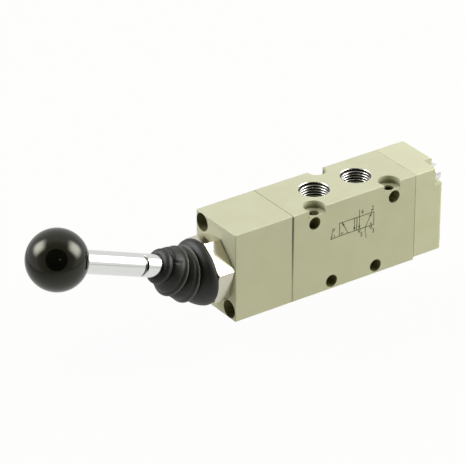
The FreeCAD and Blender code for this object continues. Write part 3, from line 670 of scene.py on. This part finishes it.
def fold_profile(start, crest, end, rise, shoulder, bead):
    """Distance, radius and wear along one fold. From the valley cone it rises as a quarter sine wave to
    a power, and falls as a quarter cosine to another power. On the crest sits a bead, which is a bell
    curve, and beside it a narrow groove. Samples crowd at the ends, where it turns into the valleys.
    Wear is how pale the rubber is, as wear and as painted light: none in the valleys, which are
    painted shade, half on the fold, and all on the bead, which is partly a painted highlight."""
    share = (1 - np.cos(np.linspace(0, math.pi, FOLD_SAMPLES))) / 2
    place = start + share * (end - start)
    near = np.sin(math.pi / 2 * ((place - start) / (crest - start)).clip(0, 1)) ** NEAR_ROUNDNESS
    far = np.cos(math.pi / 2 * ((place - crest) / (end - crest)).clip(0, 1)).clip(0) ** shoulder
    height = near * far
    ridge = bell(place - crest, BEAD_WIDTH) * (bead > 0)
    groove = bell(place - crest - BEAD_GROOVE, BEAD_WIDTH)
    radius = valley_floor(place) + rise * height + bead * (ridge - GROOVE_SHARE * groove)
    wear = 0.5 * ((height - WEAR_AND_LIGHT_START) / WEAR_AND_LIGHT_SPAN).clip(0, 1) + 0.5 * ridge - 0.2 * groove
    return place, radius, wear.clip(0, 1)


print("boot foot is", round(BOOT_FOOT, 2), "mm from the pivot")

# %% The closed outline of the boot's wall
COLLAR_START = 16.4
COLLAR_CREST, COLLAR_LIP = (18.2, 5.5), (19.6, 3.7)
ROD_RADIUS, ROD_GAP = 3.6, 0.12
WALL = 0.8
COLLAR_RISE, COLLAR_FALL = np.linspace(0, math.pi / 2, 10), np.linspace(0, math.pi / 2, 16)[1:]


def collar_profile():
    """The collar in two quarter ellipses: up from the last valley to its crest, and down to the rod."""
    valley = FOLDS[-1][2]
    depth = COLLAR_CREST[1] - valley_floor(valley)
    rising = (
        valley + (COLLAR_CREST[0] - valley) * (1 - np.cos(COLLAR_RISE)),
        valley_floor(valley) + depth * np.sin(COLLAR_RISE), 0.5 * np.sin(COLLAR_RISE),
    )
    falling = (
        COLLAR_CREST[0] + (COLLAR_LIP[0] - COLLAR_CREST[0]) * np.sin(COLLAR_FALL),
        COLLAR_LIP[1] + (COLLAR_CREST[1] - COLLAR_LIP[1]) * np.cos(COLLAR_FALL),
        0.5 * np.cos(COLLAR_FALL),
    )
    return [rising, falling]


def inner_profile():
    """The inside of the wall, from the rod back to the bushing's lip, which it fits over."""
    bend = COLLAR_START - 1
    seat = BOOT_FOOT + LIP_LENGTH
    places, radii = np.array([
        (COLLAR_START, ROD_RADIUS + ROD_GAP), (bend, valley_floor(bend) - WALL / 2),
        (FLOOR_NEAR[0], FLOOR_NEAR[1] - WALL), (seat + LIP_STEP, LIP_RADIUS - LIP_STEP),
        (seat, LIP_RADIUS), (BOOT_FOOT, LIP_RADIUS),
    ]).T
    return places, radii, np.zeros_like(places)


def boot_profile():
    """Place, radius and paleness, which is wear and painted light, all the way round the wall: out along
    the folds and the collar, and back along the inside. Each fold leaves its last point to the next one."""
    parts = []
    for fold in FOLDS:
        columns = fold_profile(*fold)
        keep = columns[0] >= BOOT_FOOT
        parts.append([column[keep][:-1] for column in columns])
    parts += collar_profile() + [inner_profile()]
    return [np.concatenate(columns) for columns in zip(*parts)]


profile_place, profile_radius, profile_wear_and_light = boot_profile()
print("outline of", len(profile_place), "points, widest radius", round(profile_radius.max(), 2), "mm")

# %% [markdown]
# In the picture the last fold has a short crease. It could be a bump in the finish, but at this size a
# bump looks painted on. It is a narrow valley pressed into the surface, along a line that curves a
# little round the boot, and it is painted dark as shade, with hardly any of the pale tone in it.

# %% Crease and bend
BOOT_COLUMNS = 144
BOOT_TURN = np.linspace(-math.pi, math.pi, BOOT_COLUMNS, endpoint=False)
CREASE_TURN, CREASE_WIDTH, CREASE_DEPTH = -0.93, 0.06, 0.3
CREASE_MIDDLE, CREASE_CURVE = 16, 0.1
CREASE_START, CREASE_END = 14.6, 17.1
CREASE_FADE_IN, CREASE_FADE_OUT = 0.5, 0.3
OUTER_RADIUS = 5
RING_LEAN = 0.72
LEAN_SHIFT, LEAN_SPAN = 1.5, 0.85


def crease(place, radius):
    """How far the rubber is creased at each point, from 0 to 1: a bell curve across a line that bends
    as the square of the distance from its middle. It fades at both ends and spares the inside."""
    line = CREASE_TURN + CREASE_CURVE * (place - CREASE_MIDDLE) ** 2
    starting = ((place - CREASE_START) / CREASE_FADE_IN).clip(0, 1)
    ending = ((CREASE_END - place) / CREASE_FADE_OUT).clip(0, 1)
    along = starting * ending * (radius > OUTER_RADIUS)
    return along[:, None] * bell(BOOT_TURN[None, :] - line[:, None], CREASE_WIDTH)


def boot_points(place, radius, creased):
    """Points of the boot: around a ring's centre, up along its leaning plane and sideways along Y.
    The centre swings evenly from the bushing's axis to the lever's, and the ring leans by that swing
    plus part of a sine wave, which is greatest at the fold by the collar."""
    start = BOOT_FOOT + LIP_LENGTH
    share = ((place - start) / (COLLAR_START - start)).clip(0, 1)
    swing = REST_TILT * share
    lean = swing + REST_TILT * RING_LEAN * np.sin(math.pi * LEAN_SPAN * share ** LEAN_SHIFT)
    zero = np.zeros_like(place)
    centre = place[:, None] * np.stack([-np.cos(swing), zero, np.sin(swing)], axis=1)
    up = np.stack([np.sin(lean), zero, np.cos(lean)], axis=1)
    sideways = np.array([0, 1, 0]) * np.sin(BOOT_TURN)[None, :, None]
    around = up[:, None, :] * np.cos(BOOT_TURN)[None, :, None] + sideways
    reach = radius[:, None] - CREASE_DEPTH * creased
    return PIVOT + MM * (centre[:, None, :] + reach[:, :, None] * around)


creased = crease(profile_place, profile_radius)
print("creased points", int((creased > 0.5).sum()))

# %% [markdown]
# Black rubber goes grey where it is handled. Dirt and light could be left to the render, but the
# picture shows more contrast than shadow alone gives. So the valleys are painted black as shade, and
# the beads paler, partly as wear and partly as a painted highlight. That paleness goes into the mesh as
# one number for each point, and the finish turns it into three tones.
# The boot takes the place of the imported model's plainer one, which is hidden.

# %% The boot and its rubber
# How much painted shade darkens the crease
CREASE_SHADE = 0.9


def boot_rubber():
    """Black rubber with a soft sheen and a fine dusty grain, valleys painted black as shade, and grey
    beads that are partly worn and partly a painted highlight.
    """
    finish = Finish("boot_rubber", Specular_IOR_Level=0.45)
    grain = finish.noise(5.0)
    dust = finish.noise(0.5, detail=4.0, roughness=0.65)
    wear = given(finish, "wear")
    # The wear number is also painted light: black valleys as shade, pale beads as highlight
    rubber = finish.mix(smooth_step(dust, 0.4, 0.75), rgb(24, 25, 20), rgb(36, 38, 31))
    rubber = finish.mix(smooth_step(wear, 0.0, 0.4), rgb(5, 5, 3), rubber)
    finish.colour(finish.mix(smooth_step(wear, 0.55, 1.0), rubber, rgb(84, 87, 78)))
    finish.rough(grain * 0.12 + 0.46)
    finish.bump(grain, 0.012, 0.5)
    return finish


boot = add_piece(
    "rubber_boot", boot_points(profile_place, profile_radius, creased),
    grid_quads(len(profile_place), BOOT_COLUMNS), boot_rubber(),
)
give(boot, "wear", (profile_wear_and_light[:, None] * (1 - CREASE_SHADE * creased)).ravel())
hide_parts("boot")
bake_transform(boot)

# %% [markdown]
# ## Threads in the ports
# A thread is a tooth that climbs as it goes round. At any point of the bore, the height along the axis
# less the climb at that angle says where in the tooth the point is, and so how far the metal stands
# in from the bore. That one formula on a fine grid gives all the turns, with no helix to sweep. The
# back of the sleeve lies on the bore's wall, so the thread is a closed piece. Its roots are painted
# dark, as the shade that lies down there where little light gets in.

# %% Thread surface
THREAD_PITCH = 0.907
THREAD_DEPTH = 0.581
THREAD_START = 0.25
TOOTH_FLAT = 0.14
THREAD_COLUMNS = 96
ROWS_PER_TURN = 16
SLEEVE_GAP = 0.004


def thread_points(port):
    """Inner rows: radius = major radius less tooth height, which is a cut-off triangle wave of the
    height along the axis over the pitch less the angle over a full turn. Outer rows: the bore's wall."""
    major = port["dims"]["r_mm"] - SLEEVE_GAP
    length = port["dims"]["length_mm"] - THREAD_START
    rows = int(length / THREAD_PITCH * ROWS_PER_TURN)
    depth = np.linspace(THREAD_START, THREAD_START + length, rows)[:, None]
    angle = np.linspace(0, 2 * math.pi, THREAD_COLUMNS, endpoint=False)[None, :]
    phase = (depth / THREAD_PITCH - angle / (2 * math.pi)) % 1
    ridge = ((np.abs(2 * phase - 1) - TOOTH_FLAT) / (1 - 2 * TOOTH_FLAT)).clip(0, 1)
    run_in = ((depth - THREAD_START) / THREAD_PITCH).clip(0, 1)
    crest = ridge * run_in
    radius = major - THREAD_DEPTH * crest
    radius = np.concatenate([radius, np.full((2, THREAD_COLUMNS), major + SLEEVE_GAP / 2)])
    depth = np.concatenate([depth, [[THREAD_START + length], [THREAD_START]]]) * np.ones_like(angle)
    sense = port["axis"][2]
    points = np.stack([radius * np.cos(angle) * sense, radius * np.sin(angle), -sense * depth], axis=2)
    crest = np.concatenate([crest, np.zeros((2, THREAD_COLUMNS))])
    return points * MM + np.array(port["pos_m"]), crest


def thread_metal():
    """Bright aluminium on the crests and roots painted dark as shade, from the tooth's height at each point."""
    finish = Finish("port_thread", Metallic=1.0)
    # Painted shade in the thread's roots, and smoother metal on its crests
    polish_and_light = smooth_step(given(finish, "crest"), 0.35, 0.9)
    finish.colour(finish.mix(polish_and_light, rgb(30, 29, 22), rgb(232, 231, 224)))
    finish.rough(polish_and_light * -0.28 + 0.46)
    return finish


thread_finish = thread_metal()
for port in ports:
    points, crest = thread_points(port)
    thread = add_piece(port["name"] + "_thread", points, grid_quads(*crest.shape), thread_finish, "valve")
    give(thread, "crest", crest.ravel())

# %% [markdown]
# ## Printed flow diagram
# The near side carries the standard sign for this valve: two boxes, one for each position, with
# arrows for the open ways and short bars for the closed ones, a lever at the left, and the port
# numbers. It could be a picture laid on the face, but a picture blurs when it is looked at closely.
# Ink is a film a few hundredths of a millimetre thick, so each line is a thin flat strip that
# follows its points, and the numbers are text turned into a mesh.

# %% Ink strips
INK_RAISE = 0.02
LINE = 0.24
HEAD_LENGTH, HEAD_WIDTH = 1.3, 0.85
NEAR_FACE = body_low[1] / MM


def strip(points):
    """Outline of a line on the near face: each point moved half the line's width to either side, and
    the ends moved on by as much. It runs up one side and back down the other."""
    path = np.asarray(points, float)
    along = np.gradient(path, axis=0)
    along *= LINE / 2 / np.linalg.norm(along, axis=1)[:, None]
    across = np.stack([-along[:, 1], along[:, 0]], axis=1)
    ends = np.zeros_like(path)
    ends[0], ends[-1] = -along[0], along[-1]
    return np.concatenate([path + across + ends, (path - across + ends)[::-1]])


def arrow_head(tip, heading):
    """A filled triangle with its tip at a point, as an outline of four points, two of them the tip."""
    tip, heading = np.asarray(tip, float), direction(heading)
    side = np.array([-heading[1], heading[0]]) * HEAD_WIDTH / 2
    base = tip - heading * HEAD_LENGTH
    return np.array([base + side, tip, tip, base - side])


def film(outline):
    """A closed thin plate from an outline in X and Z. Each step of the line is a quad from one side to
    the other, in front and, turned round, at the back. Each step of the outline is a quad of the wall."""
    count = len(outline)
    front, back = [
        np.column_stack([outline[:, 0], np.full(count, NEAR_FACE + raised), outline[:, 1]])
        for raised in (-INK_RAISE, INK_RAISE)
    ]
    step, here = np.arange(count // 2 - 1), np.arange(count)
    after = (here + 1) % count
    quads = np.stack([step, step + 1, count - 2 - step, count - 1 - step], axis=1)
    wall = np.stack([after, here, here + count, after + count], axis=1)
    return np.concatenate([front, back]), np.concatenate([quads, quads[:, ::-1] + count, wall])


def ink():
    """Dark olive ink, worn a little thinner in places."""
    finish = Finish("ink", Specular_IOR_Level=0.35)
    wear = finish.noise(2.2, roughness=0.7)
    finish.colour(finish.mix(smooth_step(wear, 0.3, 0.75), rgb(78, 76, 50), rgb(104, 102, 74)))
    finish.rough(wear * 0.1 + 0.45)
    return finish


diagram_ink = ink()
print("near face is at y", NEAR_FACE, "mm")

# %% Lines of the flow diagram
# X and Z on the near face, in millimetres: the two boxes, and the ways of the right one
LEFT, MIDDLE, RIGHT = -5.75, 0.92, 7.5
BOTTOM, TOP = 17.85, 22.3
x_five = x_four = MIDDLE + 0.95
x_one, x_two, x_three = (MIDDLE + RIGHT) / 2, RIGHT - 0.85, RIGHT - 1.1
x_down = MIDDLE - 0.95
STUB = 0.75
OUTLET_WIDTH, OUTLET_DEPTH = 1.0, 1.15


def box_lines(left, right):
    """The four sides of a box."""
    corners = [(left, BOTTOM), (right, BOTTOM), (right, TOP), (left, TOP)]
    return [[corner, corners[i - 3]] for i, corner in enumerate(corners)]


def closed_way(x):
    """A port that is shut: a short line in from the edge, with a bar across its end."""
    end = BOTTOM + STUB
    return [[(x, BOTTOM), (x, end)], [(x - STUB / 2, end), (x + STUB / 2, end)]]


def outlet(x):
    """An open triangle below the box, where air leaves to the outside."""
    tip = (x, BOTTOM - OUTLET_DEPTH)
    return [[(x - OUTLET_WIDTH / 2, BOTTOM), tip], [tip, (x + OUTLET_WIDTH / 2, BOTTOM)]]


def lever_sign():
    """The lever at the left: a base line, an arm with a round knob, and the two notches of its detent."""
    elbow, top, knob, radius = (-9.15, BOTTOM - 0.25), (-8.25, 20.3), (-8.1, 20.7), 0.42
    turn = np.linspace(0, 2 * math.pi, 17)
    circle = radius * np.column_stack([np.cos(turn), np.sin(turn)]) + knob
    notches = [[(x, BOTTOM - below), (x, BOTTOM + 0.9)] for x, below in ((-8.6, 0.2), (-7.7, 0.15))]
    return [[(LEFT, BOTTOM), elbow], [elbow, top], circle] + notches


print("boxes are", round(MIDDLE - LEFT, 2), "and", round(RIGHT - MIDDLE, 2), "mm wide")

# %% Flow diagram
shift = LEFT - MIDDLE
lines = box_lines(LEFT, MIDDLE) + box_lines(MIDDLE, RIGHT) + lever_sign()
lines += closed_way(x_three) + closed_way(x_five + shift) + outlet(x_five) + outlet(x_three)
lines += [
    [(x_five, BOTTOM), (x_four, TOP)], [(x_one, BOTTOM), (x_two, TOP)],
    [(x_one + shift, BOTTOM), (x_four + shift, TOP)], [(x_down, BOTTOM), (x_down, TOP)],
    [(x_four, TOP), (x_four, TOP + 2.4)], [(x_two, TOP), (x_two, TOP + 1.2)],
    [(x_one, BOTTOM), (x_one, BOTTOM - 1.9)],
]
heads = [
    arrow_head((x_five, BOTTOM), (0, -1)), arrow_head((x_down, BOTTOM), (0, -1)),
    arrow_head((x_two, TOP), (x_two - x_one, TOP - BOTTOM)),
    arrow_head((x_four + shift, TOP), (x_four - x_one, TOP - BOTTOM)),
]
plates = [film(outline) for outline in [strip(line) for line in lines] + heads]
starts = np.cumsum([0] + [len(points) for points, faces in plates])
ink_points = np.concatenate([points for points, faces in plates])
ink_faces = np.concatenate([faces + start for (points, faces), start in zip(plates, starts)])
add_piece("flow_diagram", ink_points * MM, ink_faces, diagram_ink, "valve", smooth=False)

# %% Port numbers
DIGIT_HEIGHT, DIGIT_WIDTH, DIGIT_BOLD = 1.5, 0.8, 0.035
DIGIT_SHARE = 0.7  # a digit's height over the size of its font
DIGIT_DROP = 0.15
digit_places = {
    "4": (2.99, 23.7), "2": (7.03, 23.9),
    "5": (2.74, 15.9), "1": (4.53, 14.8), "3": (7.32, 15.8),
}


def digit(text, x, z):
    """A number as flat text, filled and given the ink's thickness, then stood up on the near face: its
    width goes along X, its height along Z, and its thickness along Y."""
    curve = bpy.data.curves.new("digit_" + text, "FONT")
    curve.body = text
    curve.size = DIGIT_HEIGHT / DIGIT_SHARE
    curve.extrude = INK_RAISE
    curve.offset = DIGIT_BOLD
    curve.align_x, curve.align_y = "CENTER", "CENTER"
    letter = bpy.data.objects.new("digit_" + text, curve)
    bpy.context.scene.collection.objects.link(letter)
    bpy.context.view_layer.update()
    mesh = bpy.data.meshes.new_from_object(letter)
    bpy.data.objects.remove(letter)
    flat = np.array([vertex.co for vertex in mesh.vertices])
    points = np.column_stack([
        x + flat[:, 0] * DIGIT_WIDTH, NEAR_FACE - flat[:, 2], z + flat[:, 1] - DIGIT_DROP,
    ])
    faces = [list(polygon.vertices) for polygon in mesh.polygons]
    bpy.data.meshes.remove(mesh)
    add_piece("port_number_" + text, points * MM, faces, diagram_ink, "valve", smooth=False)


for text, (x, z) in digit_places.items():
    digit(text, x, z)

# %% [markdown]
# ## Floor and backdrop
# The valve is held a little above a white floor, so that the knob has room when the lever is pushed
# right down, in front of a white backdrop. If both were lit until they look white, they would light
# the valve from all sides and wash it out. So they glow white to the camera and are less bright in
# what mirrors them, the floor most of all towards its rim. To everything else the floor is plain pale
# paint, and the backdrop gives a weak even light. A small part of the floor stays plain to the camera
# too, which keeps the shadow.

# %% Floor
FLOOR_DROP = 14.5
FLOOR_RADIUS = 0.26
FLOOR_SHOWN = 0.95
FLOOR_COLOUR = (0.72, 0.72, 0.6)
DIMMER_FROM = 0.35
MIRRORED_NEAR, MIRRORED_FAR = 0.88, 0.42
CIRCLE_POINTS = 96


def ring(first, second, radius):
    """Points of a circle: the cosine of the turn along one direction plus its sine along another."""
    turn = np.linspace(0, 2 * math.pi, CIRCLE_POINTS, endpoint=False)
    return radius * (np.outer(np.cos(turn), first) + np.outer(np.sin(turn), second))


def seen_and_mirrored(nodes):
    """Two fields: 1 where the camera looks straight at the surface, and 1 where something mirrors it."""
    return [nodes.node("LightPath", output=ray) for ray in ("Is Camera Ray", "Is Glossy Ray")]


def white_floor():
    """A mix of pale paint and a glow. The glow's strength is 1 for the camera, and in reflections it
    falls with the distance from the middle."""
    finish = Finish("floor", Roughness=0.9, Specular_IOR_Level=0.1)
    finish.colour(FLOOR_COLOUR)
    x, y, _ = finish.place()
    away = distance(x, y) / (FLOOR_RADIUS / MM)
    shown = MIRRORED_NEAR + smooth_step(away, DIMMER_FROM, 1.0) * (MIRRORED_FAR - MIRRORED_NEAR)
    camera, mirrored = seen_and_mirrored(finish)
    glow = finish.node("Emission", sockets={
        "Color": (1, 1, 1), "Strength": larger(camera, mirrored * shown),
    })
    mixed = finish.node("MixShader", sockets={
        "Fac": larger(camera * FLOOR_SHOWN, mirrored),
        1: Field(finish, finish.shader.outputs[0]), 2: glow,
    })
    finish.fill(finish.tree.nodes["Material Output"].inputs[0], mixed)
    return finish


floor_z = body_low[2] - FLOOR_DROP * MM
disc = ring((1, 0, 0), (0, 1, 0), FLOOR_RADIUS) + (0, 0, floor_z)
add_piece("floor", disc, [range(CIRCLE_POINTS)], white_floor(), smooth=False)
print("floor at z", round(floor_z / MM, 3), "mm")

# %% Backdrop
WORLD_LIGHT = 0.35
WORLD_MIRRORED = 0.85
world = bpy.data.worlds.new("backdrop")
bpy.context.scene.world = world
backdrop = Nodes(world)
camera, mirrored = seen_and_mirrored(backdrop)
background = backdrop.tree.nodes["Background"]
backdrop.fill(background.inputs["Color"], (1, 1, 1))
backdrop.fill(background.inputs["Strength"], larger(camera, mirrored * WORLD_MIRRORED, WORLD_LIGHT))
print("world light", WORLD_LIGHT, "and in reflections", WORLD_MIRRORED)

# %% [markdown]
# ## Soft boxes
# Two large soft boxes light the valve, one over the far side at the lever's end, the other over the
# near side at the cap's end, and a small lamp adds a sharp glint. The knob shows where they are: a
# polished ball mirrors nearly the whole room, and each lamp's direction was worked out from its place
# on the ball. The mirror image of a lamp has a hard edge, but a real soft box fades towards its rim. So
# the lamps stay out of reflections, and a glowing card that fades out stands in for each of them.

# %% Lamps and their cards
LAMP_AWAY = 0.9
CARD_SIZE = 1.42
SOFT_RIM = 0.85
WHITE = (1.0, 1.0, 1.0)


def glow_finish(name, strength):
    """A black surface that only glows."""
    finish = Finish(name, Roughness=1.0, Specular_IOR_Level=0.0, Emission_Strength=strength)
    finish.colour((0.0, 0.0, 0.0))
    return finish


def lamp_card(name, place, wide, high, strength):
    """A card across the view from the knob. How solid it is comes from the distance to its edges: half
    less the offset from its middle as a share of its size, smoothed, and the two ways multiplied."""
    level, above = level_and_up(direction(KNOB - place))
    corners = np.array([(-0.5, -0.5), (0.5, -0.5), (0.5, 0.5), (-0.5, 0.5)]) * (wide, high)
    finish = glow_finish(name, strength)
    finish.feed("Emission Color", WHITE)
    falls = [
        smooth_step(0.5 - abs(finish.along(place, axis)) / (size / MM), 0, SOFT_RIM / 2)
        for axis, size in ((level, wide), (above, high))
    ]
    finish.feed("Alpha", falls[0] * falls[1])
    card = add_piece(name, place + corners @ np.array([level, above]), [range(4)], finish, smooth=False)
    card.visible_camera = card.visible_diffuse = card.visible_shadow = False


def soft_box(name, towards, wide, high, radiance, mirrored, tint=WHITE):
    """A rectangular lamp that is seen from the knob in a direction, and its card. Its power in watts is
    its brightness times its area times pi."""
    lamp = bpy.data.lights.new(name, "AREA")
    lamp.shape = "RECTANGLE"
    lamp.size, lamp.size_y = wide, high
    lamp.energy = radiance * math.pi * wide * high
    lamp.color = tint
    place = KNOB + LAMP_AWAY * direction(towards)
    aimed(name, lamp, place, KNOB).visible_glossy = False
    lamp_card(name + "_card", place, CARD_SIZE * wide, CARD_SIZE * high, mirrored)


soft_box("left_box", (-0.571, 0.597, 0.563), 0.62, 0.66, 4.5, 11.5, (0.98, 0.99, 1.0))
soft_box("right_box", (0.783, -0.357, 0.509), 0.66, 0.7, 4.5, 11.5, (1.0, 1.0, 0.93))
soft_box("small_lamp", (-0.28, -0.823, 0.494), 0.03, 0.03, 12.0, 30.0)

# %% [markdown]
# ## The dark room round the camera
# The ball mirrors the room behind the camera as a black disc in its middle, and beyond that a pale
# wall that gets brighter towards its rim. Polished metal needs that dark room too, or it would look
# like white paint. It could be a room with walls, but they would stand in the way of the lamps, so it
# is one large round card behind the camera. The camera doesn't see it, so the valve can also be looked
# at from behind it.

# %% Tent wall
# Half angles seen from the valve: the black opening, its soft rim, and the tent's wall
OPENING_ANGLE, RIM_ANGLE, WALL_ANGLE = 37.0, 41.0, 74.0
WALL_INNER, WALL_OUTER = 0.34, 0.8
WALL_TINT = (1, 1, 0.84)
BEHIND_LENS = 0.04


def tent_wall():
    """One round card behind the camera. Its radii are its distance times the angles' tangents. Its
    glow grows from the middle out: quickly across the opening's rim, then slowly to the edge."""
    away = np.linalg.norm(EYE - AIM) + BEHIND_LENS
    ahead = direction(AIM - EYE)
    centre = AIM - away * ahead
    opening, rim, edge = away * np.tan(np.radians([OPENING_ANGLE, RIM_ANGLE, WALL_ANGLE]))
    points = np.concatenate([ring(*level_and_up(ahead), edge), np.zeros((1, 3))]) + centre
    here = np.arange(CIRCLE_POINTS)
    faces = np.column_stack([here, (here + 1) % CIRCLE_POINTS, np.full(CIRCLE_POINTS, CIRCLE_POINTS)])
    finish = glow_finish("tent_wall", 1.0)
    radius = distance(*finish.offsets(centre))
    glow = smooth_step(radius, opening / MM, rim / MM) * WALL_INNER
    glow = glow + smooth_step(radius, rim / MM, edge / MM) * (WALL_OUTER - WALL_INNER)
    finish.feed("Emission Color", finish.mix(glow, (0, 0, 0), WALL_TINT))
    wall = add_piece("tent_wall", points, faces, finish, smooth=False)
    wall.visible_camera = False


tent_wall()
